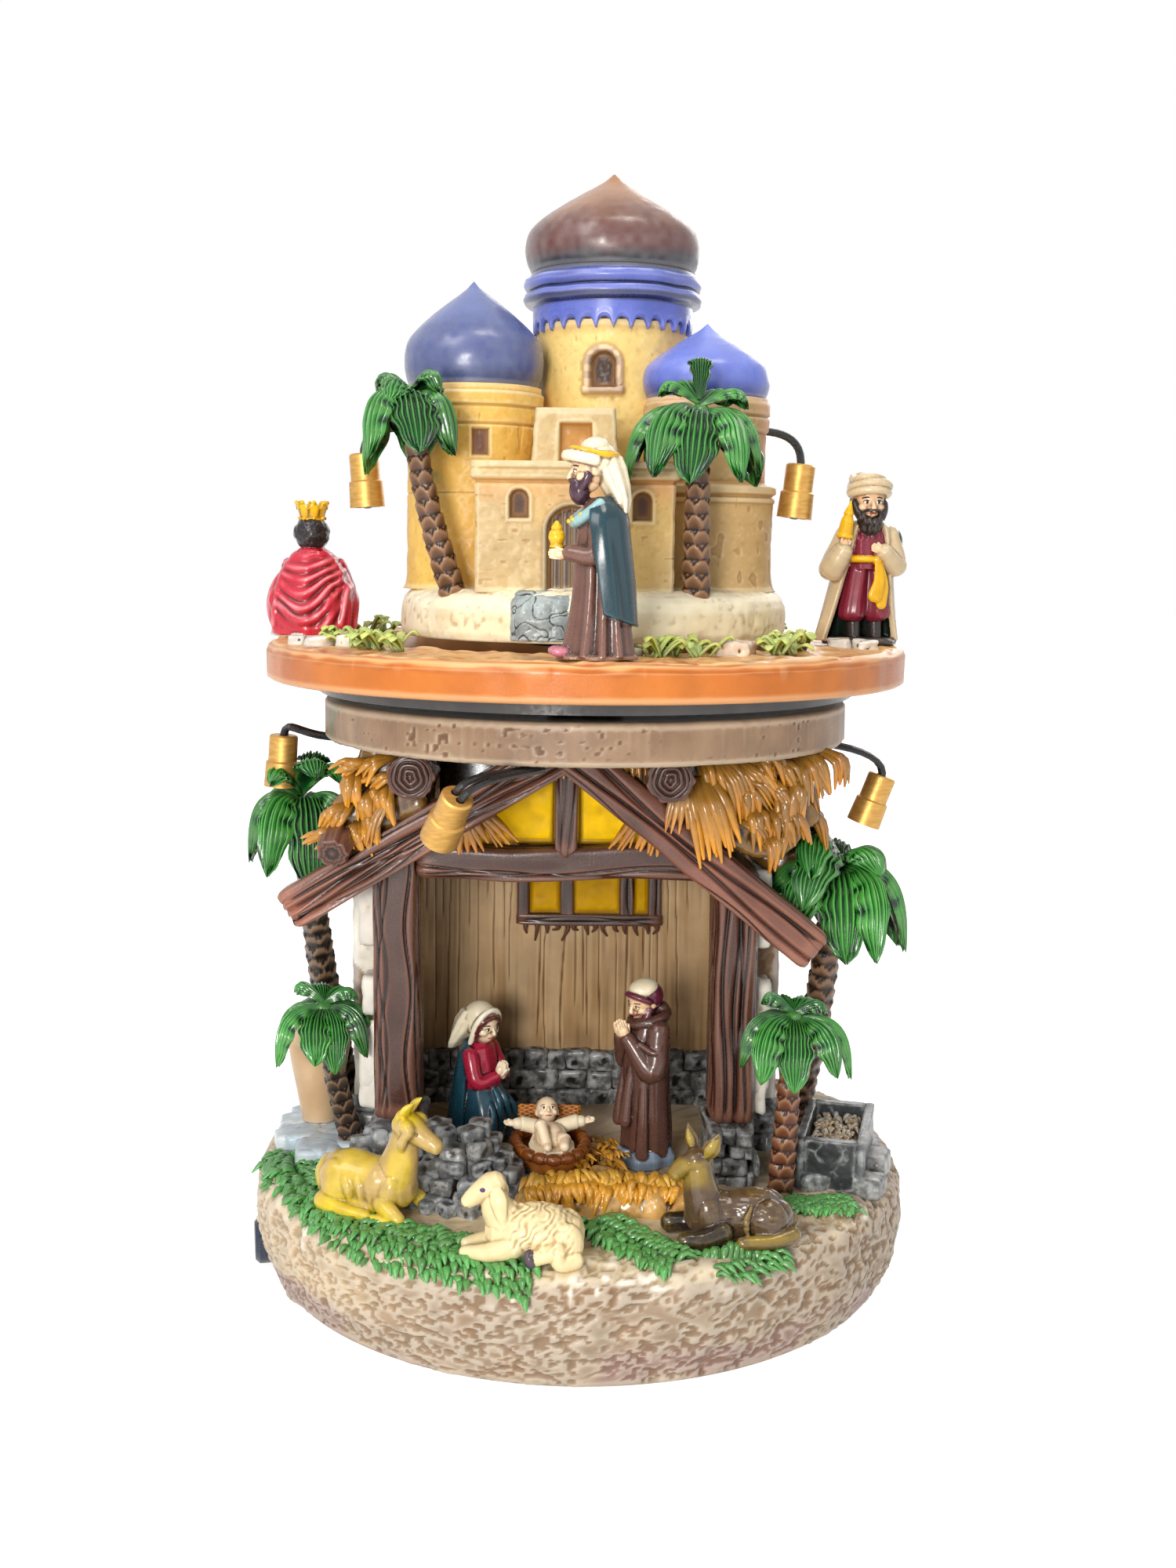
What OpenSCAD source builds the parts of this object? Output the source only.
/* [Rock base] */
// Widest radius of the rock base
base_r = 79; // [76:0.5:100]
// Radius of the rock base where it meets the table side
base_foot_r = 75; // [68:0.5:76]
// Height of the rock base above its feet
base_h = 22.5; // [22:0.5:32]
// Rounding of the top edge of the base
base_round = 5; // [2:0.5:7]
// Wall of the hollow base
base_wall = 7; // [5:0.5:9]
// Thickness of the ground that the scene stands on
ground_t = 5; // [4:0.5:7]
// Height of the rubber feet
foot_h = 2.5; // [2:0.5:5]
// Radius of a rubber foot
foot_r = 5; // [3:0.5:7]
// Thickness of the bottom cover
cover_t = 3; // [2.5:0.25:4]
// Shank radius of the fixing screws
screw_r = 1.3; // [1:0.1:2]

/* [Music and power] */
// Radius of one battery cell
cell_r = 7; // [5:0.1:7.2]
// Length of one battery cell
cell_l = 50.5; // [44:0.5:51]
// Thickness of the sliding battery door
door_t = 1.5; // [1.3:0.1:1.6]
// Travel of the battery door
door_travel = 11; // [6:1:12]
// Radius of the push button
button_r = 5.5; // [4:0.25:5.75]
// How far the button stands out of the rock
button_out = 1.2; // [0.6:0.1:4]
// Travel of the push button
button_travel = 2; // [1:0.25:2.25]
// Radius of the loudspeaker
speaker_r = 18; // [12:0.5:18]
// Height of the loudspeaker
speaker_h = 9.5; // [6:0.5:12]

/* [Stable] */
// Height from the ground to the underside of the roof slab
stable_h = 102.5; // [95:0.5:125]
// Clear width between the two front posts
stable_w = 68.5; // [62:0.1:83]
// Sideways place of the middle of the stable
stable_x = -4; // [-6:0.5:0]
// Width of a front post
post_w = 10.5; // [8:0.5:11]
// Thickness of a side wall
wall_t = 7; // [5:0.5:8]
// Thickness of the back wall
back_t = 8; // [7:0.5:10]
// Depth from the front of the posts to the back wall
stable_d = 54; // [48:0.5:56]
// Height of the stone footing
footing_h = 13; // [10:0.5:16]
// Height of the underside of the lintel above the ground
lintel_rise = 71; // [66:0.5:76]
// Height of the lintel beam
lintel_h = 8; // [6:0.5:11]
// Thickness of a rafter plank, across its slope
rafter_t = 9.5; // [7:0.5:11]
// Length of a rafter plank from the ridge
rafter_l = 73; // [68:0.5:78]
// Slope of the left rafter in degrees
left_pitch = 31; // [28:0.5:33]
// Slope of the right rafter in degrees
right_pitch = 39; // [36:0.5:41]
// Radius of the log ends under the slab
log_r = 5; // [3:0.25:6]

/* [Roof slab and drive] */
// Radius of the round roof slab
slab_r = 61.7; // [58:0.1:72]
// Thickness of the roof slab
slab_t = 9; // [8:0.25:12]
// Depth of the gear pocket in the slab
pocket_depth = 6; // [5:0.25:7]
// Radius of the fixed post that carries the castle
post_r = 6; // [4.5:0.1:7.5]
// Module of the two gears
gear_module = 0.8; // [0.7:0.05:0.9]
// Teeth of the turntable gear
gear_teeth = 42; // [42:1:44]
// Teeth of the motor pinion
pinion_teeth = 18; // [16:1:20]
// Radius of the gear motor can
motor_r = 11; // [9:0.25:11.5]
// Height of the gear motor can
motor_h = 20; // [16:0.5:24]
// Radius of the motor shaft
shaft_r = 2; // [1.5:0.1:2.5]

/* [Turntable] */
// Outer radius of the turning ring
ring_r = 75; // [72:0.5:92]
// Inner radius of the turning ring
ring_in_r = 48; // [47.5:0.25:52]
// Thickness of the turning ring
ring_t = 8.5; // [6:0.25:11]
// Radius of the carrier disc under the ring
carrier_r = 63; // [58:0.5:70]
// Thickness of the carrier disc
carrier_t = 3.2; // [2.5:0.1:4]
// Air between the slab and the carrier disc
turntable_gap = 1.8; // [1.2:0.1:3]

/* [Castle] */
// Radius of the castle plinth
plinth_r = 45.2; // [45:0.1:46]
// Height of the castle plinth
plinth_h = 10.5; // [8:0.25:13]
// Height of the gatehouse to its parapet
gate_h = 28; // [24:0.5:32]
// Height of the tall tower under its collar
tall_h = 61; // [56:0.5:66]
// Radius of the tall tower
tall_r = 17.5; // [15:0.25:18]
// Height of the left tower
left_h = 46; // [42:0.5:50]
// Radius of the left tower
left_r = 15.6; // [13:0.25:16]
// Height of the right tower
right_h = 44; // [38:0.5:48]
// Radius of the right tower above its ledge
right_r = 14; // [12:0.25:15]

/* [Lamps] */
// Outer radius of a lamp shade at its mouth
shade_r = 4.1; // [3.7:0.1:5]
// Length of a lamp shade
shade_l = 12.4; // [10:0.2:15]
// Radius of a lamp lead
lead_r = 0.8; // [0.6:0.05:0.9]

/* [Figures] */
// Height of the standing man
man_h = 46; // [38:0.5:54]
// Height of the kneeling woman
woman_h = 36.5; // [30:0.5:44]
// Height of the two standing kings
king_h = 44; // [36:0.5:48]
// Height of the kneeling king
kneeling_king_h = 32; // [26:0.5:38]

/* [Hidden] */
$fn = 48;

// Clearances: pieces that slide or push, a shaft in its bearing, and glued pieces
slide_gap = 0.3;
bearing_gap = 0.05;
joint_gap = 0.1;
eps = 0.01;

// Heights of the layers, from the table up
ground_z = foot_h + base_h;
cavity_top = ground_z - ground_t;
cover_top = foot_h + cover_t;
footing_top = ground_z + footing_h;
lintel_z = ground_z + lintel_rise;
slab_z = ground_z + stable_h;
slab_top = slab_z + slab_t;
pocket_z = slab_top - pocket_depth;
carrier_z = slab_top + turntable_gap;
ring_z = carrier_z + carrier_t;
ring_top = ring_z + ring_t;
plinth_gap = 1.5;
plinth_z = ring_top + plinth_gap;
castle_z = plinth_z + plinth_h;

// Base cavity, battery bay and electrics; the rock ends just above the table
rim_gap = 0.5;
cavity_r = base_foot_r - base_wall + 3;
cover_r = cavity_r - slide_gap;
boss_r = 4;
boss_circle = cavity_r - 7;
boss_angles = [60, 120, 240, 300];
foot_circle = cover_r - 8.5;
foot_angles = [40, 140, 220, 320];
cell_count = 3;
cell_pitch = 2 * cell_r + 0.5;
contact_room = 3.5;
bay_wall = 1.5;
bay_w = cell_count * cell_pitch + 0.8;
bay_l = cell_l + 2 * contact_room;
bay_y = 20;
bay_roof = 1;
door_margin = 2;
door_w = bay_w + 2 * door_margin;
door_l = bay_l + 2 * door_margin;
door_front = bay_y - door_l / 2;
tongue_w = 1.5;
tongue_l = 12;
tongue_starts = [door_front + 4, door_front + 34];
lip_t = 0.6;
door_room = 0.6;
cell_z = foot_h + door_t + door_room + cell_r;
bay_top = cell_z + cell_r + slide_gap;
head_r = 2 * screw_r;
head_h = 1.3;
screw_l = 8;
speaker_at = [24, -30.5];
speaker_rim_h = 2.5;
magnet_r = 0.55 * speaker_r;
grille_ring = 9;
grille_hole_r = 1.4;
board_at = [-28, -38];
board_size = [36, 22, 1.6];
board_stand = 3;
board_peg_x = 12;
board_peg_r = 2.5;
chip_size = [8, 8, 1.8];
button_angle = 194;
button_z = 6.5;
button_bevel = 1;
button_stem = 2;
button_stem_r = 2;
button_back = cavity_r - 0.8;
button_l = base_r + button_out - button_back;
switch_size = [7, 10, 9];
harness_r = 1.4;
harness_room = 1;
harness_x = -30;
harness_drop = 11;

// Stable plan
post_left_x = stable_x - stable_w / 2;
post_right_x = stable_x + stable_w / 2;
wall_left_x = post_left_x - post_w;
wall_right_x = post_right_x + post_w;
back_y = 30;
front_y = back_y - stable_d;
post_d = 19;
wall_front = front_y + post_d;
rafter_d = 9;
window_w = 37;
window_h = 13;
window_rise = 49;
window_t = 1.5;
window_x = stable_x + 6;
window_rim = 2;
pane_pitch = 11.5;
pane_w = 9;
pane_depth = 0.7;
harness_y = back_y + back_t / 2;
footing_out = 1;
footing_in = 0.5;
footing_step = 4;
course_t = 3;
paving_h = 4.5;
paving_front = -16;
paving_back = 26;
king_post_w = 5.4;
lintel_d = 8;
glass_t = 1.4;
thatch_front = front_y - 6;
log_front = front_y - 18;
log_left_x = stable_x - 33.5;
log_right_x = stable_x + 22.7;

// Drive
gear_r = gear_module * gear_teeth / 2;
pinion_r = gear_module * pinion_teeth / 2;
motor_x = -(gear_r + pinion_r);
gear_h = 4;
gear_z = pocket_z + 1;
hub_r = post_r + 3;
pressure_angle = 20;
backlash = 0.12;
pocket_r = gear_r + 2 * pinion_r + 3;
shaft_depth = 8;
shaft_room = 1;
motor_ear_t = 3;
motor_ear_w = 7;
motor_ear_l = motor_r + 6;
motor_screw_y = motor_r + 3;
motor_screw_l = 5;
nut_h = 4;
nut_r = post_r + 3.5;
flange_r = 14;
flange_t = 2.5;
post_bore_r = post_r - 2.5;

// Turntable figures stand on one circle
king_circle = ring_r - 9;
king_red_angle = 176;
king_teal_angle = 272;
king_white_angle = -2;

// Castle plan: middle of the plinth and the tower axes
plinth_x = 1.6;
tall_at = [5.5, 12];
left_at = [-26.6, -3];
right_at = [27.2, -4];
ledge_out = 2;
ledge_z = castle_z + 24;
gate_w = 43;
gate_x = -2.5;
gate_front = -36;
gate_d = 26;
parapet_h = 3.5;
parapet_out = 1;
upper_h = 11.5;
gate_door_w = 11;
gate_door_h = 13;
niche_w = 7;
niche_h = 8.5;
collar_h = 13;
tower_top = 80;
left_flare = 0.8;

// Points along an arc, from one angle to another
function arc(at, r, from, to, steps) = [for (i = [0 : steps])
    let (a = from + (to - from) * i / steps) at + r * [cos(a), sin(a)]];
function unit(v) = v / norm(v);
function bezier(a, b, c, d, t) =
    pow(1 - t, 3) * a + 3 * t * pow(1 - t, 2) * b + 3 * t * t * (1 - t) * c + pow(t, 3) * d;
function curve(a, b, c, d, steps) = [for (i = [0 : steps]) bezier(a, b, c, d, i / steps)];

// Closed skin over rings of equally many points
module skin(rings) {
    n = len(rings[0]);
    m = len(rings);
    walls = [for (i = [0 : m - 2]) for (j = [0 : n - 1]) let (k = (j + 1) % n, a = i * n, b = a + n)
        each [[a + j, b + k, a + k], [a + j, b + j, b + k]]];
    first_cap = [for (j = [1 : n - 2]) [0, j, j + 1]];
    last = (m - 1) * n;
    last_cap = [for (j = [1 : n - 2]) [last, last + j + 1, last + j]];
    polyhedron([for (ring = rings) each ring], concat(walls, first_cap, last_cap));
}

// Upright stack of ovals: each row is height, forward shift, half width, half depth
module stack(rows, sides = 16) {
    skin([for (row = rows) [for (i = [0 : sides - 1]) let (a = 360 * i / sides)
        [row[2] * cos(a), row[1] + row[3] * sin(a), row[0]]]]);
}

// Round tube through points, with one radius per point; side is any vector across the route
function route_dir(p, i) = unit(p[min(i + 1, len(p) - 1)] - p[max(i - 1, 0)]);
function route_ring(at, d, side, r, sides) =
    let (u = unit(side - (side * d) * d), v = cross(d, u))
    [for (j = [0 : sides - 1]) at + r * (cos(360 * j / sides) * u + sin(360 * j / sides) * v)];
module tube(points, radii, side, sides = 8) {
    skin([for (i = [0 : len(points) - 1])
        route_ring(points[i], route_dir(points, i), side, radii[i], sides)]);
}
function same(r, points) = [for (p = points) r];

// Robed standing figure, facing -Y, with its forearms before its chest
module standing_figure(h, w, d) {
    stack([
        [0, 0, 0.46 * w, 0.46 * d],
        [0.08 * h, 0, 0.47 * w, 0.47 * d],
        [0.45 * h, 0, 0.4 * w, 0.42 * d],
        [0.62 * h, 0, 0.45 * w, 0.42 * d],
        [0.76 * h, 0, 0.42 * w, 0.36 * d],
        [0.815 * h, 0, 0.2 * w, 0.24 * d],
        [0.86 * h, 0, 0.21 * w, 0.28 * d],
        [0.93 * h, 0, 0.23 * w, 0.3 * d],
        [0.98 * h, 0, 0.16 * w, 0.2 * d],
        [h, 0, 0.06 * w, 0.08 * d]
    ]);
    arms = [[0.36 * w, 0, 0.62 * h], [0.22 * w, -0.42 * d, 0.6 * h], [0, -0.5 * d, 0.64 * h],
        [-0.22 * w, -0.42 * d, 0.6 * h], [-0.36 * w, 0, 0.62 * h]];
    tube(arms, [2, 1.9, 1.4, 1.9, 2], [0, 0, 1]);
}

// Robed kneeling figure, facing -Y
module kneeling_figure(h, w, d) {
    stack([
        [0, 0, 0.48 * w, 0.48 * d],
        [0.1 * h, 0, 0.5 * w, 0.5 * d],
        [0.3 * h, 0.02 * d, 0.46 * w, 0.42 * d],
        [0.55 * h, 0.06 * d, 0.4 * w, 0.28 * d],
        [0.7 * h, 0.06 * d, 0.36 * w, 0.22 * d],
        [0.765 * h, 0.04 * d, 0.18 * w, 0.16 * d],
        [0.82 * h, 0.02 * d, 0.2 * w, 0.19 * d],
        [0.91 * h, 0.02 * d, 0.22 * w, 0.2 * d],
        [0.97 * h, 0.02 * d, 0.16 * w, 0.15 * d],
        [h, 0.02 * d, 0.07 * w, 0.07 * d]
    ]);
}

// Lying animal with its rump at -X: body rings across X are cut flat on the ground
function body_ring(x, rise, half_w, half_h, sides) = [for (j = [0 : sides - 1])
    let (a = 90 + 360 * j / sides) [x, half_w * cos(a), max(0, rise + half_h * sin(a))]];
module lying_animal(l, w, h, neck_h, head_l, ear_l, look) {
    reach = [0.02, 0.1, 0.3, 0.55, 0.8, 0.93, 1];
    swell = [0.45, 0.8, 1, 0.95, 0.9, 0.7, 0.35];
    skin([for (i = [0 : len(reach) - 1])
        body_ring(l * reach[i], 0.45 * h, w / 2 * swell[i], 0.55 * h * swell[i], 14)]);
    chest = [0.8 * l, 0, 0.55 * h];
    poll = [0.92 * l, 0, neck_h];
    muzzle = poll + head_l * [cos(look), sin(look), -0.25];
    tube([chest, (chest + poll) / 2, poll + [0, 0, 0.5]], [0.3 * w, 0.24 * w, 0.2 * w], [0, 1, 0], 10);
    tube([poll - 0.2 * (muzzle - poll), poll + 0.3 * (muzzle - poll), muzzle],
        [0.17 * w, 0.22 * w, 0.12 * w], [0, 0, 1], 10);
    for (s = [-1, 1])
        tube([poll + [0, 0.1 * w * s, 0], poll + [-0.1 * ear_l, 0.12 * w * s, ear_l]],
            [0.09 * w, 0.04 * w], [0, 1, 0], 6);
}

// Palm: leaning trunk and a crown of drooping lobes, from the ground at the origin
module palm(top, trunk_r, crown_r, drop, lobes) {
    bend = curve([0, 0, 1.5], [0, 0, 0.4 * top[2]], [0.5 * top[0], 0.5 * top[1], 0.7 * top[2]], top, 6);
    trunk = concat([[0, 0, 0], [0, 0, 1]], bend);
    tube(trunk, [for (i = [0 : 8]) trunk_r * (1.16 - 0.04 * i)], [0, 1, 0], 10);
    sides = 6 * lobes;
    crown_t = 3.2;
    function lobe(a, t) = 1 - 0.32 * t * pow(abs(sin(lobes * a / 2)), 2);
    function leaf(t, under) = [for (i = [0 : sides - 1])
        let (a = 360 * i / sides, r = crown_r * t * lobe(a, t))
        [top[0] + r * cos(a), top[1] + r * sin(a),
            top[2] + crown_t - drop * t * t * t - under * crown_t * (1.2 - 0.9 * t)]];
    reach = [0.12, 0.4, 0.7, 0.9, 1];
    last = len(reach) - 1;
    skin([for (t = reach) leaf(t, 1),
        for (i = [last : -1 : 0]) leaf(reach[i], 0)]);
}

// Onion dome on its neck: bulge radius, height from neck to tip
module onion(r, h, neck) {
    rotate_extrude()
        polygon(concat([[0, 0], [neck, 0]], arc([r - 0.3 * h, 0.3 * h], 0.3 * h, -52, 40, 8),
            [[0.62 * r, 0.66 * h], [0.36 * r, 0.81 * h], [0.14 * r, 0.93 * h], [0, h]]));
}

// Involute spur gear outline
function involute(a) = tan(a) * 180 / PI - a;
module gear_outline(teeth) {
    pitch_r = gear_module * teeth / 2;
    round_r = pitch_r * cos(pressure_angle);
    tip_r = pitch_r + 0.9 * gear_module;
    root_r = pitch_r - 1.2 * gear_module;
    half = 90 / teeth - backlash / pitch_r * 90 / PI + involute(pressure_angle);
    flank = [for (i = [0 : 3]) let (low = max(round_r, root_r)) low + (tip_r - low) * i / 3];
    function off(r) = half - involute(acos(min(1, round_r / r)));
    polygon([for (k = [0 : teeth - 1]) let (c = 360 * k / teeth) each concat(
        [root_r * [cos(c - off(flank[0])), sin(c - off(flank[0]))]],
        [for (r = flank) r * [cos(c - off(r)), sin(c - off(r))]],
        [for (i = [3 : -1 : 0]) flank[i] * [cos(c + off(flank[i])), sin(c + off(flank[i]))]],
        [root_r * [cos(c + off(flank[0])), sin(c + off(flank[0]))]])]);
}

// Prism along Y from an outline in X and Z
module along_y(from, to, outline) {
    translate([0, to, 0])
        rotate([90, 0, 0])
            linear_extrude(to - from)
                polygon(outline);
}
module block(x, y, z) {
    translate([x[0], y[0], z[0]])
        cube([x[1] - x[0], y[1] - y[0], z[1] - z[0]]);
}

// Height of the upper face of the rafters at x, which the thatch lies on
function roof_left(x) = slab_z - (stable_x - x) * tan(left_pitch) + rafter_t / 2 / cos(left_pitch);
function roof_right(x) = slab_z - (x - stable_x) * tan(right_pitch) + rafter_t / 2 / cos(right_pitch);

// Base and what it holds
module button_place(r) {
    rotate(button_angle)
        translate([r, 0, button_z])
            rotate([0, 90, 0])
                children();
}
module at_angles(angles, r, z) {
    for (a = angles)
        rotate(a)
            translate([r, 0, z])
                children();
}

module base_shell() {
    color("burlywood")
    difference() {
        rotate_extrude()
            polygon(concat([[0, rim_gap], [base_foot_r, rim_gap], [base_r, ground_z / 2]],
                arc([base_r - base_round, ground_z - base_round], base_round, 0, 90, 6), [[0, ground_z]]));
        difference() {
            translate([0, 0, -eps])
                cylinder(r = cavity_r, h = cavity_top + eps);
            at_angles(boss_angles, boss_circle, cover_top)
                cylinder(r = boss_r, h = base_h);
        }
        at_angles(boss_angles, boss_circle, cover_top - eps)
            cylinder(r = screw_r + joint_gap, h = screw_l + 1);
        button_place(cavity_r - 5)
            cylinder(r = button_r + slide_gap, h = base_r);
        translate([harness_x, harness_y, cavity_top - eps])
            cylinder(r = harness_r + harness_room, h = ground_t + 1);
    }
}

module bay_box(margin, from, to) {
    block([-bay_w / 2 - margin, bay_w / 2 + margin],
        [bay_y - bay_l / 2 - margin, bay_y + bay_l / 2 + margin], [from, to]);
}
module door_room_block(out, y, z) {
    half = door_w / 2 + out + slide_gap;
    block([-half, half], [y[0] - slide_gap, y[1] + slide_gap], [foot_h + z[0], foot_h + z[1] + slide_gap]);
}
module bottom_cover() {
    color("dimgray")
    difference() {
        union() {
            translate([0, 0, foot_h])
                cylinder(r = cover_r, h = cover_t);
            bay_box(bay_wall, cover_top - eps, bay_top + bay_roof);
            for (s = [-1, 1])
                translate([board_at[0] + s * board_peg_x, board_at[1], cover_top - eps])
                    cylinder(r = board_peg_r, h = board_stand + eps);
        }
        bay_box(0, foot_h - eps, bay_top);
        button_place(button_back - button_stem - button_travel - 1)
            cylinder(r = button_r + slide_gap, h = button_l);
        door_room_block(0, [door_front, door_front + door_l + door_travel], [-eps, door_t]);
        for (y = tongue_starts) {
            door_room_block(tongue_w, [y, y + tongue_l + door_travel], [lip_t, door_t]);
            door_room_block(tongue_w, [y + door_travel, y + tongue_l + door_travel], [-eps, lip_t]);
        }
        at_angles(boss_angles, boss_circle, foot_h - eps)
            cylinder(r = screw_r + joint_gap, h = cover_t + 1);
        at_angles(boss_angles, boss_circle, foot_h - eps)
            cylinder(r = head_r + slide_gap, h = head_h + joint_gap + eps);
        for (i = [0 : 6])
            translate([speaker_at[0], speaker_at[1], foot_h - eps])
                rotate(60 * i)
                    translate([i == 6 ? 0 : grille_ring, 0, 0])
                        cylinder(r = grille_hole_r, h = cover_t + 1);
    }
}
module rubber_feet() {
    color("black")
        at_angles(foot_angles, foot_circle, 0)
            cylinder(r = foot_r, h = foot_h);
}
module fasteners() {
    color("silver") {
        at_angles(boss_angles, boss_circle, foot_h) {
            translate([0, 0, joint_gap])
                cylinder(r = head_r, h = head_h);
            translate([0, 0, head_h])
                cylinder(r = screw_r, h = screw_l);
        }
        for (s = [-1, 1])
            translate([motor_x, s * motor_screw_y, slab_z - motor_ear_t - joint_gap]) {
                translate([0, 0, -head_h])
                    cylinder(r = head_r, h = head_h);
                cylinder(r = screw_r, h = motor_screw_l);
            }
        difference() {
            translate([0, 0, slab_z - nut_h])
                cylinder(r = nut_r, h = nut_h, $fn = 6);
            translate([0, 0, slab_z - nut_h - eps])
                cylinder(r = post_r + bearing_gap, h = nut_h + 1);
        }
    }
}
module batteries() {
    tip_r = 2.7;
    tip_h = 1;
    color("seagreen")
        for (i = [0 : cell_count - 1])
            translate([(i - (cell_count - 1) / 2) * cell_pitch, bay_y - cell_l / 2, cell_z])
                rotate([-90, 0, 0]) {
                    cylinder(r = cell_r, h = cell_l - tip_h);
                    cylinder(r = tip_r, h = cell_l);
                }
}
module battery_contacts() {
    plate_t = 0.5;
    plate_w = 8;
    plate_h = 10;
    bump_r = 2.5;
    color("silver")
        for (i = [0 : cell_count - 1])
            for (s = [-1, 1])
                translate([(i - (cell_count - 1) / 2) * cell_pitch, bay_y + s * bay_l / 2, cell_z])
                    rotate([s * 90, 0, 0]) {
                        translate([-plate_w / 2, -plate_h / 2, 0])
                            cube([plate_w, plate_h, plate_t]);
                        cylinder(r = bump_r, h = contact_room - slide_gap);
                    }
}
module battery_door() {
    groove_half = 7;
    groove_pitch = 2.4;
    color("dimgray")
        difference() {
            union() {
                block([-door_w / 2, door_w / 2], [door_front, door_front + door_l],
                    [foot_h, foot_h + door_t]);
                for (y = tongue_starts)
                    block([-door_w / 2 - tongue_w, door_w / 2 + tongue_w], [y, y + tongue_l],
                        [foot_h + lip_t + slide_gap, foot_h + door_t]);
            }
            for (i = [2 : 5])
                block([-groove_half, groove_half],
                    [door_front + groove_pitch * i, door_front + groove_pitch * (i + 0.5)],
                    [foot_h - eps, foot_h + door_t / 2]);
        }
}
module circuit_board() {
    color("darkgreen") {
        translate([board_at[0], board_at[1], cover_top + board_stand + board_size[2] / 2])
            cube(board_size, center = true);
        translate([board_at[0] + chip_size[0], board_at[1],
            cover_top + board_stand + board_size[2] + chip_size[2] / 2])
            cube(chip_size, center = true);
    }
}
module speaker() {
    color("dimgray")
        translate([speaker_at[0], speaker_at[1], cover_top]) {
            cylinder(r = speaker_r, h = speaker_rim_h);
            cylinder(r1 = speaker_r - 2, r2 = magnet_r, h = speaker_h - 4);
            cylinder(r = magnet_r, h = speaker_h);
        }
}
module switch_body() {
    color("black")
        rotate(button_angle)
            translate([button_back - button_stem - button_travel - slide_gap - switch_size[0],
                -switch_size[1] / 2, cover_top])
                cube(switch_size);
}
module power_button() {
    color("midnightblue")
        button_place(button_back) {
            cylinder(r = button_r, h = button_l - button_bevel);
            translate([0, 0, button_l - button_bevel - eps])
                cylinder(r1 = button_r, r2 = button_r - button_bevel, h = button_bevel + eps);
            translate([0, 0, -button_stem])
                cylinder(r = button_stem_r, h = button_stem + eps);
        }
}
module wire_harness() {
    start = [board_at[0] - 8, board_at[1] + 6, cover_top + board_stand + board_size[2]];
    run_z = start[2] + 3;
    turn_z = slab_z - harness_drop;
    up_board = concat([start, start + [0, 0, 0.4]],
        curve(start + [0, 0, 0.8], start + [0, 0, 2.5], start + [0, 0.5, 3], start + [0, 3, 3], 4));
    to_wall = curve([start[0], 10, run_z], [start[0], 24, run_z], [harness_x, harness_y, run_z - 2],
        [harness_x, harness_y, cavity_top], 8);
    to_motor = curve([harness_x, harness_y, turn_z - 7], [harness_x, harness_y, turn_z + 1],
        [harness_x, back_y, turn_z], [motor_x - 2, motor_r + 1.6, turn_z], 9);
    route = concat(up_board, to_wall, to_motor);
    color("black")
        tube(route, same(harness_r, route), [1, 0, 0]);
}

// Stable
module back_wall() {
    slot_half = 3.5;
    color("tan")
        difference() {
            block([wall_left_x - wall_t, wall_right_x + wall_t], [back_y, back_y + back_t],
                [ground_z, slab_z]);
            translate([harness_x, harness_y, ground_z - 1])
                cylinder(r = harness_r + harness_room, h = stable_h - harness_drop);
            block([harness_x - slot_half, harness_x + slot_half],
                [back_y - 1, harness_y + harness_r + harness_room],
                [slab_z - 2 * harness_drop, slab_z - harness_drop / 2]);
        }
}
module left_wall() {
    color("linen")
        along_y(wall_front, back_y, [[wall_left_x - wall_t, footing_top], [wall_left_x, footing_top],
            [wall_left_x, roof_left(wall_left_x)], [wall_left_x - wall_t, roof_left(wall_left_x - wall_t)]]);
}
module right_wall() {
    color("linen")
        along_y(wall_front, back_y, [[wall_right_x, footing_top], [wall_right_x + wall_t, footing_top],
            [wall_right_x + wall_t, roof_right(wall_right_x + wall_t)],
            [wall_right_x, roof_right(wall_right_x)]]);
}
module stone_footing() {
    front = front_y - footing_step;
    left = wall_left_x - wall_t - footing_out;
    right = wall_right_x + wall_t + footing_out;
    inner_left = post_left_x + footing_in;
    inner_right = post_right_x - footing_in;
    paving_r = base_r - base_round - footing_out;
    stone_x = post_left_x + 11;
    stone_back = front - 1.5;
    color("slategray") {
        block([left, inner_left], [wall_front, back_y], [ground_z, footing_top]);
        block([wall_left_x - footing_out, inner_left], [front, wall_front], [ground_z, footing_top]);
        block([inner_right, right], [wall_front, back_y], [ground_z, footing_top]);
        block([inner_right, wall_right_x + footing_out], [front, wall_front], [ground_z, footing_top]);
        block([inner_left, inner_right], [back_y - course_t, back_y], [ground_z, footing_top + footing_out]);
        translate([0, 0, ground_z])
            linear_extrude(paving_h)
                polygon(concat([[wall_left_x - footing_out, paving_front],
                    [wall_left_x - footing_out, wall_front], [left, wall_front], [left, paving_back]],
                    arc([0, 0], paving_r, 180 - asin(paving_back / paving_r),
                        180 - asin(paving_front / paving_r), 8)));
        for (stone = [[14, 8, 9], [10, 6, 13]])
            block([stone_x - stone[0] / 2, stone_x + stone[0] / 2], [stone_back - stone[1], stone_back],
                [ground_z, ground_z + stone[2]]);
    }
}
module left_post() {
    color("saddlebrown")
        along_y(front_y, front_y + post_d, [[wall_left_x, footing_top], [post_left_x, footing_top],
            [post_left_x, roof_left(post_left_x)], [wall_left_x, roof_left(wall_left_x)]]);
}
module right_post() {
    color("saddlebrown")
        along_y(front_y, front_y + post_d, [[post_right_x, footing_top], [wall_right_x, footing_top],
            [wall_right_x, roof_right(wall_right_x)], [post_right_x, roof_right(post_right_x)]]);
}
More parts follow.
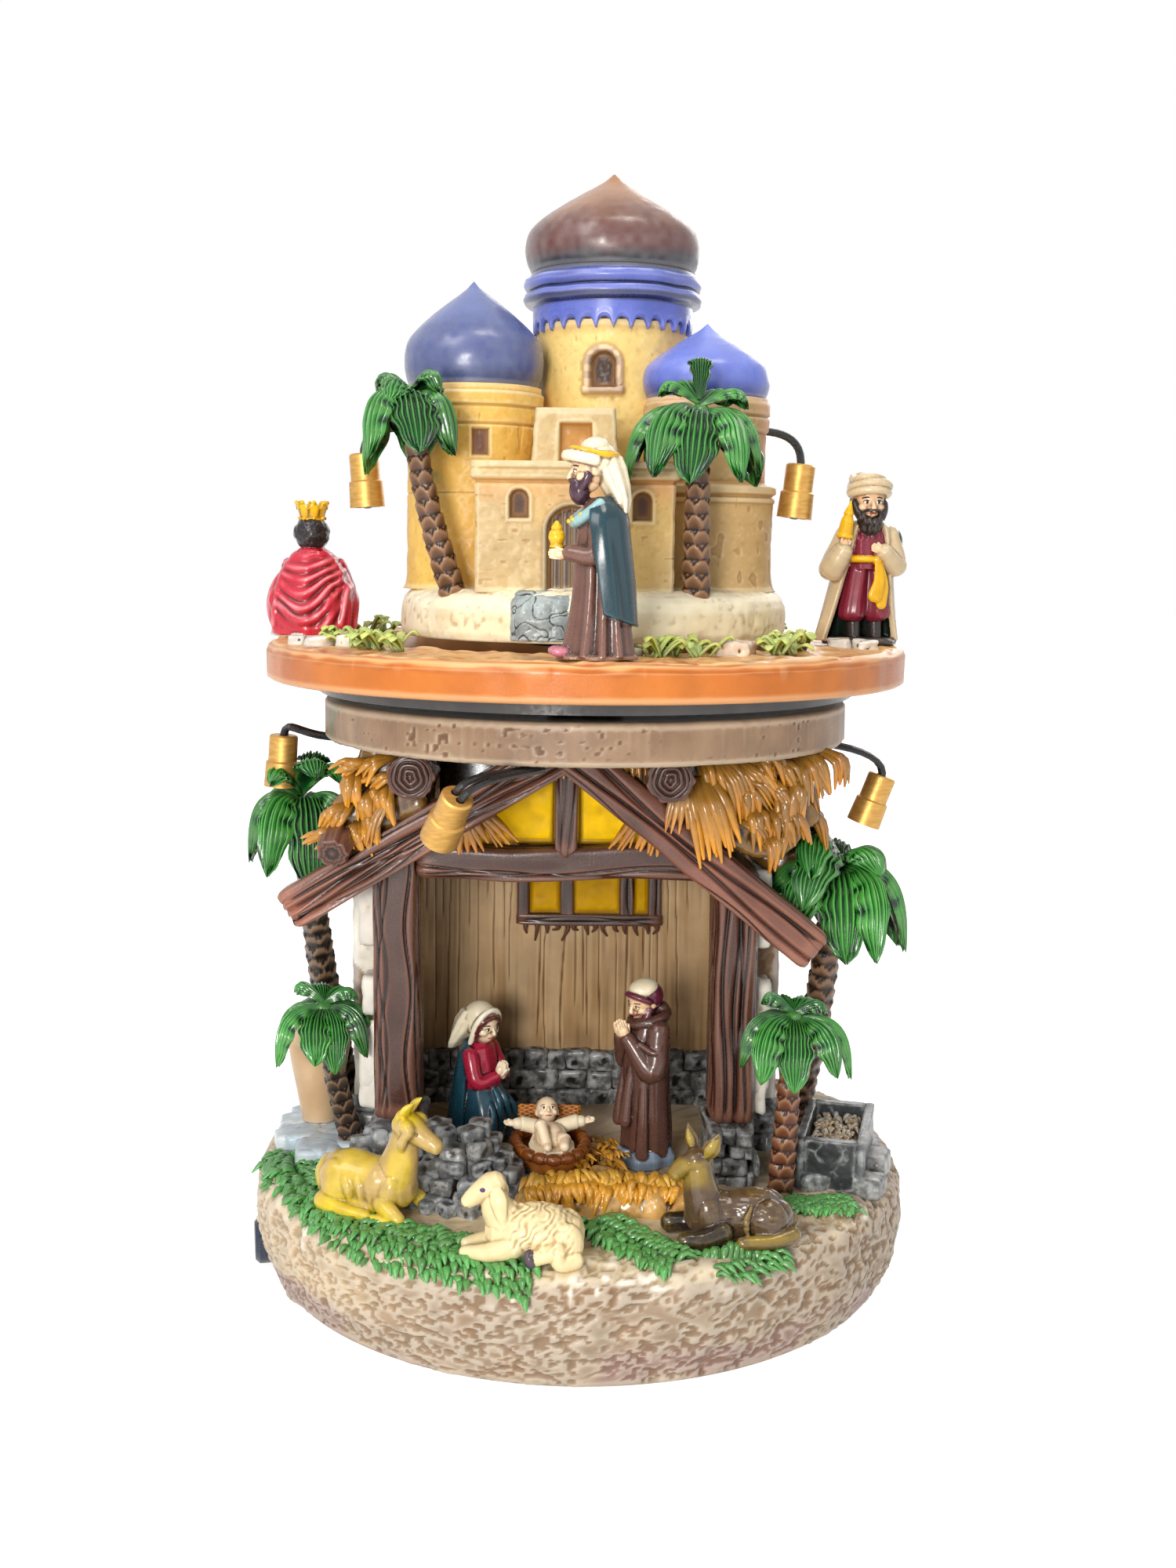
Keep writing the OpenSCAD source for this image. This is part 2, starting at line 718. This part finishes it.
module rafter(s, pitch) {
    across = rafter_t / 2 * [s * sin(pitch), cos(pitch)];
    foot = [stable_x + s * rafter_l * cos(pitch), slab_z - rafter_l * sin(pitch)];
    cut = rafter_t / 2 / cos(pitch);
    along_y(front_y - rafter_d, front_y, [foot + across, foot - across, [stable_x, slab_z - cut],
        [stable_x, slab_z], [stable_x + s * cut / tan(pitch), slab_z]]);
}
module left_rafter() {
    color("saddlebrown")
        rafter(-1, left_pitch);
}
module right_rafter() {
    color("saddlebrown")
        rafter(1, right_pitch);
}
module lintel(gap) {
    block([post_left_x - gap, post_right_x + gap], [front_y - gap, front_y + lintel_d + gap],
        [lintel_z - gap, lintel_z + lintel_h + gap]);
}
module gable_frame() {
    half = king_post_w / 2;
    color("saddlebrown") {
        lintel(gap = 0);
        block([stable_x - half, stable_x + half], [front_y, front_y + lintel_d],
            [lintel_z + lintel_h - eps, slab_z]);
    }
}
module roof_logs() {
    color("saddlebrown")
        for (x = [log_left_x, log_right_x])
            translate([x, thatch_front, slab_z - log_r - joint_gap])
                rotate([90, 0, 0])
                    cylinder(r = log_r, h = thatch_front - log_front);
}
module gable_panes() {
    foot = lintel_z + lintel_h;
    half = king_post_w / 2;
    y = front_y + lintel_d / 2;
    top = slab_z - 3;
    top_half = 9;
    foot_half = 29;
    for (s = [-1, 1])
        along_y(y, y + glass_t, [[stable_x + s * half, foot], [stable_x + s * half, top],
            [stable_x + s * top_half, top], [stable_x + s * foot_half, foot]]);
}
module back_window() {
    z = ground_z + window_rise;
    difference() {
        block([window_x - window_w / 2, window_x + window_w / 2], [back_y - window_t, back_y],
            [z, z + window_h]);
        for (i = [-1, 0, 1])
            block([window_x + pane_pitch * i - pane_w / 2, window_x + pane_pitch * i + pane_w / 2],
                [back_y - window_t - 1, back_y - window_t + pane_depth],
                [z + window_rim, z + window_h - window_rim]);
    }
}
module amber_windows() {
    color("gold") {
        gable_panes();
        back_window();
    }
}
module thatch() {
    left_in = stable_x - 31.5;
    left_out = stable_x - 53;
    left_tip = [left_out + 1, slab_z - 14];
    right_in = stable_x + 19;
    right_out = stable_x + 56;
    right_tip = [right_out + 3.5, slab_z - 19.5];
    color("goldenrod")
        difference() {
            union() {
                along_y(thatch_front, back_y, [[left_in, roof_left(left_in) + joint_gap],
                    [left_in, slab_z], [left_out + 8, slab_z], left_tip,
                    [left_out, roof_left(left_out) + joint_gap]]);
                along_y(thatch_front, back_y, [[right_in, roof_right(right_in) + joint_gap],
                    [right_in, slab_z], [right_out - 6, slab_z], right_tip,
                    [right_out, roof_right(right_out) + joint_gap]]);
            }
            lintel(gap = joint_gap);
        }
}
module roof_slab() {
    color("tan")
        difference() {
            translate([0, 0, slab_z])
                cylinder(r = slab_r, h = slab_t);
            translate([0, 0, pocket_z])
                cylinder(r = pocket_r, h = slab_t);
            translate([0, 0, slab_z - 1])
                cylinder(r = post_r + bearing_gap, h = slab_t);
            translate([motor_x, 0, slab_z - 1])
                cylinder(r = shaft_r + shaft_room, h = slab_t);
            for (s = [-1, 1])
                translate([motor_x, s * motor_screw_y, slab_z - 1])
                    cylinder(r = screw_r + joint_gap, h = 1 + motor_screw_l - motor_ear_t);
        }
}

// Drive
module drive_motor() {
    color("silver")
        difference() {
            union() {
                translate([motor_x, 0, slab_z - motor_h])
                    cylinder(r = motor_r, h = motor_h);
                block([motor_x - motor_ear_w / 2, motor_x + motor_ear_w / 2], [-motor_ear_l, motor_ear_l],
                    [slab_z - motor_ear_t, slab_z]);
            }
            translate([motor_x, 0, slab_z - shaft_depth - shaft_room])
                cylinder(r = shaft_r + bearing_gap, h = shaft_depth + 2 * shaft_room);
            for (s = [-1, 1])
                translate([motor_x, s * motor_screw_y, slab_z - motor_ear_t - 1])
                    cylinder(r = screw_r + joint_gap, h = motor_ear_t + 2);
        }
}
module drive_pinion() {
    color("white")
        translate([motor_x, 0, 0]) {
            translate([0, 0, gear_z])
                rotate(180 / pinion_teeth)
                    linear_extrude(gear_h)
                        gear_outline(pinion_teeth);
            translate([0, 0, slab_z - shaft_depth])
                cylinder(r = shaft_r, h = gear_z - slab_z + shaft_depth + eps);
        }
}
module castle_post() {
    color("dimgray")
        difference() {
            union() {
                translate([0, 0, slab_z - nut_h - 1])
                    cylinder(r = post_r, h = plinth_z - slab_z + nut_h + 1);
                translate([0, 0, plinth_z - flange_t])
                    cylinder(r = flange_r, h = flange_t);
            }
            translate([0, 0, slab_z - nut_h - 2])
                cylinder(r = post_bore_r, h = plinth_z - slab_z + nut_h + 4);
        }
}

// Turntable
module carrier_disc() {
    color("dimgray")
        difference() {
            union() {
                translate([0, 0, carrier_z])
                    cylinder(r = carrier_r, h = carrier_t);
                translate([0, 0, pocket_z + joint_gap])
                    cylinder(r = hub_r, h = carrier_z - pocket_z);
                translate([0, 0, gear_z])
                    linear_extrude(gear_h)
                        gear_outline(gear_teeth);
            }
            translate([0, 0, pocket_z - 1])
                cylinder(r = post_r + bearing_gap, h = carrier_z - pocket_z + carrier_t + 2);
        }
}
module turntable_ring() {
    edge_r = 1.5;
    color("peru")
        translate([0, 0, ring_z])
            rotate_extrude()
                polygon(concat([[ring_in_r, 0], [ring_r - edge_r, 0]],
                    arc([ring_r - edge_r, ring_t - edge_r], edge_r, 0, 90, 4), [[ring_in_r, ring_t]]));
}
module on_ring(angle, facing) {
    rotate(angle)
        translate([king_circle, 0, ring_top])
            rotate(facing - angle)
                children();
}
module king_red() {
    color("crimson")
        on_ring(king_red_angle, 175)
            kneeling_figure(h = kneeling_king_h, w = 19.5, d = 17);
}
module king_teal() {
    color("teal")
        on_ring(king_teal_angle, -80)
            standing_figure(h = king_h, w = 13.5, d = 16);
}
module king_white() {
    color("ivory")
        on_ring(king_white_angle, 8)
            standing_figure(h = king_h - 3.5, w = 17, d = 13);
}

// Castle
module tower_shaft(at, r, gap) {
    translate([at[0], at[1], castle_z - 1])
        cylinder(r = r + gap, h = tower_top);
}
module castle_plinth() {
    edge_r = 1.2;
    color("wheat")
        translate([plinth_x, 0, plinth_z])
            rotate_extrude()
                polygon(concat([[0, 0], [plinth_r, 0]],
                    arc([plinth_r - edge_r, plinth_h - edge_r], edge_r, 0, 90, 5), [[0, plinth_h]]));
}
module gatehouse() {
    left = gate_x - gate_w / 2;
    right = gate_x + gate_w / 2;
    back = gate_front + gate_d;
    top = castle_z + gate_h;
    upper_foot = 9.5;
    upper_head = 8;
    door_half = gate_door_w / 2;
    recess = 2;
    window_off = 13.5;
    window_half = 1.7;
    window_z = castle_z + 16;
    color("wheat")
        difference() {
            union() {
                block([left, right], [gate_front, back], [castle_z, top - parapet_h + eps]);
                block([left - parapet_out, right + parapet_out], [gate_front - parapet_out, back],
                    [top - parapet_h, top]);
                along_y(gate_front + 4, back, [[gate_x - upper_foot, top - eps],
                    [gate_x + upper_foot, top - eps], [gate_x + upper_head, top + upper_h],
                    [gate_x - upper_head, top + upper_h]]);
            }
            block([gate_x - niche_w / 2, gate_x + niche_w / 2], [gate_front + 3, gate_front + 4 + recess],
                [top + eps, top + niche_h]);
            block([gate_x - door_half, gate_x + door_half], [gate_front - 1, gate_front + recess],
                [castle_z - 1, castle_z + gate_door_h]);
            translate([gate_x, gate_front + recess, castle_z + gate_door_h])
                rotate([90, 0, 0])
                    cylinder(r = door_half, h = recess + 1);
            for (s = [-1, 1])
                block([gate_x + s * window_off - window_half, gate_x + s * window_off + window_half],
                    [gate_front - 1, gate_front + 1], [window_z, window_z + 4]);
            tower_shaft(left_at, left_r + left_flare, joint_gap);
            tower_shaft(right_at, right_r + ledge_out, joint_gap);
            tower_shaft(tall_at, tall_r, joint_gap);
        }
}
module tall_tower() {
    collar_z = castle_z + tall_h;
    bead_r = tall_r + 4;
    rim_r = tall_r + 4.4;
    color("burlywood")
        difference() {
            translate([tall_at[0], tall_at[1], 0])
                rotate_extrude()
                    polygon([[0, castle_z], [tall_r, castle_z], [tall_r, collar_z], [bead_r, collar_z + 3.5],
                        [bead_r, collar_z + 8], [bead_r - 1, collar_z + 9], [rim_r, collar_z + 10],
                        [rim_r, collar_z + collar_h], [0, collar_z + collar_h]]);
            tower_shaft(right_at, right_r + ledge_out, joint_gap);
        }
}
module tall_dome() {
    color("brown")
        translate([tall_at[0], tall_at[1], castle_z + tall_h + collar_h])
            onion(r = tall_r + 3.4, h = 23, neck = tall_r + 0.8);
}
module lead_holes(at, r, s) {
    for (k = [-1, 1])
        translate([at[0] + s * (r - 2.6), at[1] + k * lead_gap, lead_z])
            rotate([0, 90 * s, 0])
                cylinder(r = lead_r + lead_room, h = 6);
}
module left_tower() {
    top = castle_z + left_h;
    color("burlywood")
        difference() {
            translate([left_at[0], left_at[1], 0])
                rotate_extrude()
                    polygon([[0, castle_z], [left_r + left_flare, castle_z], [left_r + left_flare, ledge_z],
                        [left_r, ledge_z + 1], [left_r, top - 7], [left_r + 0.7, top - 6],
                        [left_r + 0.7, top], [0, top]]);
            lead_holes(left_at, left_r, -1);
        }
}
module left_dome() {
    color("royalblue")
        translate([left_at[0], left_at[1], castle_z + left_h])
            onion(r = left_r + 0.5, h = 24, neck = left_r - 0.5);
}
module right_tower() {
    top = castle_z + right_h;
    color("burlywood")
        difference() {
            translate([right_at[0], right_at[1], 0])
                rotate_extrude()
                    polygon([[0, castle_z], [right_r + ledge_out, castle_z], [right_r + ledge_out, ledge_z],
                        [right_r, ledge_z + 1], [right_r, top - 7], [right_r + 0.6, top - 6],
                        [right_r + 0.6, top], [0, top]]);
            lead_holes(right_at, right_r, 1);
        }
}
module right_dome() {
    color("royalblue")
        translate([right_at[0], right_at[1], castle_z + right_h])
            onion(r = right_r + 0.7, h = 17, neck = right_r - 0.8);
}
module castle_palm_left() {
    color("forestgreen")
        translate([-29, -27, castle_z])
            palm(top = [-9.5, -3, 41], trunk_r = 2.2, crown_r = 11, drop = 17, lobes = 6);
}
module castle_palm_right() {
    color("forestgreen")
        translate([24, -33.5, castle_z])
            palm(top = [-0.5, -4, 38], trunk_r = 2.2, crown_r = 14, drop = 10.5, lobes = 7);
}

// Palms on the ground
module roof_palm_left() {
    color("forestgreen")
        translate([wall_left_x - wall_t - 5, 17, ground_z + paving_h])
            palm(top = [-10, -10, 78], trunk_r = 3.4, crown_r = 13, drop = 18, lobes = 7);
}
module roof_palm_right() {
    color("forestgreen")
        translate([wall_right_x + wall_t + 5, 6, ground_z])
            palm(top = [12.2, -6, 70], trunk_r = 3.6, crown_r = 17.5, drop = 22, lobes = 7);
}
module ground_palm_left() {
    color("forestgreen")
        translate([wall_left_x - 7, -10, ground_z + paving_h])
            palm(top = [-5, -8, 34], trunk_r = 2.2, crown_r = 11.5, drop = 11, lobes = 7);
}
module ground_palm_right() {
    color("forestgreen")
        translate([wall_right_x + 5, front_y - 9, ground_z])
            palm(top = [2, -1, 42], trunk_r = 2.4, crown_r = 12.5, drop = 12, lobes = 7);
}

// Lamps: place of the shade's top, its turn about X and Y, where the leads start, their first pull, and
// the direction in which the two leads lie side by side
lead_gap = 1.1;
lead_room = 0.15;
lead_rise = 7;
lead_z = castle_z + 37;
tower_seat = 2;
LAMPS = [
    [[-72, -3, slab_z - 0.8], [0, 4], [-54, -3, slab_z - 1.05], [-15, 0, -1.6], [0, 1, 0]],
    [[-25, -69, slab_z - 5], [31, 24], [-9, -56, slab_z - 0.95], [-7, -5, -1], [0.6, -0.8, 0]],
    [[71.5, -3, slab_z - 9], [0, 20], [48, -3, slab_z - 0.95], [12, 0, 0], [0, 1, 0]],
    [[-52.5, -2, castle_z + 31], [0, -4],
        [left_at[0] - left_r + tower_seat, left_at[1], lead_z], [-6, 0, 0], [0, 1, 0]],
    [[49.6, -4, castle_z + 29.5], [0, 6],
        [right_at[0] + right_r - tower_seat, right_at[1], lead_z], [6, 0, 0], [0, 1, 0]]
];
module lamp_place(lamp) {
    translate(lamp[0])
        rotate([lamp[1][0], lamp[1][1], 0])
            children();
}
function lamp_axis(lamp) = let (a = lamp[1])
    [-cos(a[0]) * sin(a[1]), sin(a[0]), -cos(a[0]) * cos(a[1])];
function lamp_across(lamp) = unit(cross(lamp_axis(lamp), cross(lamp[4], lamp_axis(lamp))));
module lamp_shades() {
    neck_r = shade_r - 0.7;
    bore_r = shade_r - 1;
    half = shade_l / 2;
    bevel = 0.4;
    color("goldenrod")
        for (lamp = LAMPS)
            difference() {
                lamp_place(lamp)
                    rotate_extrude()
                        polygon([[0, 0], [neck_r - bevel, 0], [neck_r, -bevel], [neck_r, -half],
                            [shade_r - bevel / 2, -half - bevel], [shade_r, -shade_l], [bore_r, -shade_l],
                            [bore_r, -half], [0, -half]]);
                for (k = [-1, 1])
                    translate(k * lead_gap * lamp_across(lamp))
                        lamp_place(lamp)
                            translate([0, 0, -1.6])
                                cylinder(r = lead_r + lead_room, h = 3);
            }
}
module lamp_bulbs() {
    bulb_r = 2.5;
    tip = shade_l / 2 + 0.4;
    color("lavender")
        for (lamp = LAMPS)
            lamp_place(lamp)
                translate([0, 0, -shade_l / 2])
                    rotate_extrude()
                        polygon(concat([[0, 0]], arc([0, bulb_r - tip], bulb_r, -90, 0, 6), [[bulb_r, 0]]));
}
module lamp_wires() {
    color("black")
        for (lamp = LAMPS)
            for (k = [-1, 1]) {
                start = lamp[2] + k * lead_gap * lamp[4];
                axis = lamp_axis(lamp);
                end = lamp[0] + k * lead_gap * lamp_across(lamp) + axis;
                route = curve(start, start + lamp[3], end - lead_rise * axis, end, 11);
                tube(route, same(lead_r, route), lamp[4]);
            }
}

// Figures and beasts on the ground
module on_ground(at, facing) {
    translate([at[0], at[1], ground_z])
        rotate(facing)
            children();
}
module kneeling_woman() {
    color("teal")
        on_ground(at = [post_left_x + 13.25, 2], facing = 80)
            kneeling_figure(h = woman_h, w = 14, d = 17);
}
module standing_man() {
    color("sienna")
        on_ground(at = [post_right_x - 14.75, -13], facing = -75)
            standing_figure(h = man_h, w = 13, d = 15);
}
manger_at = [stable_x - 3, -20.5];
manger_turn = 8;
manger_h = 8;
manger_sink = 2;
manger_rim = 1.8;
module manger_outline(inset) {
    polygon(concat(arc([0, 3.5], 9 - inset, 0, 180, 8), arc([0, -3.5], 8 - inset, 180, 360, 8)));
}
module manger() {
    color("peru")
        on_ground(manger_at, manger_turn)
            difference() {
                linear_extrude(manger_h)
                    manger_outline(0);
                translate([0, 0, manger_h - manger_sink])
                    linear_extrude(2 * manger_sink)
                        manger_outline(manger_rim);
            }
}
module infant() {
    lengthwise = [-1.5, 1, 6, 9, 10.5, 12.5, 14, 15.6];
    swell = [1.6, 3.4, 4, 3.2, 1.8, 2.4, 2.6, 1.2];
    rise = 1.7;
    color("ivory")
        on_ground(manger_at, manger_turn)
            translate([0, -6, manger_h - manger_sink])
                skin([for (i = [0 : len(swell) - 1]) [for (j = [0 : 11]) let (a = 90 - 30 * j)
                    [swell[i] * cos(a), lengthwise[i], max(0, rise + swell[i] * sin(a))]]]);
}
module calf() {
    color("gold")
        on_ground(at = [-58, -44], facing = -12)
            lying_animal(l = 27, w = 12, h = 13, neck_h = 19, head_l = 7, ear_l = 5.5, look = 15);
}
module sheep() {
    color("ivory")
        on_ground(at = [0, 10 - base_r], facing = 176)
            lying_animal(l = 24, w = 13, h = 12, neck_h = 15.5, head_l = 6.5, ear_l = 2, look = 10);
}
module donkey() {
    color("saddlebrown")
        on_ground(at = [44, 20 - base_r], facing = 168)
            lying_animal(l = 23, w = 12, h = 11, neck_h = 17, head_l = 6.5, ear_l = 7, look = 12);
}
module water_jar() {
    color("tan")
        translate([wall_left_x - wall_t - 9.75, 2.5, ground_z + paving_h])
            rotate_extrude()
                polygon([[0, 0], [4.8, 0], [6.4, 8], [7.8, 16], [7.6, 21], [6, 24.5], [7.2, 27], [5.6, 27],
                    [5, 25], [0, 25]]);
}
module stone_trough() {
    half_w = 8;
    half_l = 14;
    rim = 12;
    wall = 2;
    depth = 2.5;
    color("dimgray")
        on_ground(at = [wall_right_x + 20.25, -17], facing = -14)
            difference() {
                block([-half_w, half_w], [-half_l, half_l], [0, rim]);
                block([wall - half_w, half_w - wall], [wall - half_l, half_l - wall], [rim - depth, rim + 1]);
            }
}
module hay_bed() {
    half_l = 17.5;
    color("goldenrod")
        on_ground(at = [7, -42], facing = 4)
            skin([for (x = [-17, -14, -6, 4, 13, 16])
                let (swell = sqrt(max(0.05, 1 - pow(x / half_l, 2))))
                body_ring(x, 0, 7 * swell, 6 * swell, 12)]);
}

base_shell();
bottom_cover();
rubber_feet();
fasteners();
batteries();
battery_contacts();
battery_door();
circuit_board();
speaker();
switch_body();
power_button();
wire_harness();
back_wall();
left_wall();
right_wall();
stone_footing();
left_post();
right_post();
left_rafter();
right_rafter();
gable_frame();
amber_windows();
roof_logs();
thatch();
roof_slab();
drive_motor();
drive_pinion();
castle_post();
carrier_disc();
turntable_ring();
king_red();
king_teal();
king_white();
castle_plinth();
gatehouse();
tall_tower();
tall_dome();
left_tower();
left_dome();
right_tower();
right_dome();
castle_palm_left();
castle_palm_right();
roof_palm_left();
roof_palm_right();
ground_palm_left();
ground_palm_right();
lamp_shades();
lamp_bulbs();
lamp_wires();
kneeling_woman();
standing_man();
infant();
manger();
calf();
sheep();
donkey();
water_jar();
stone_trough();
hay_bed();
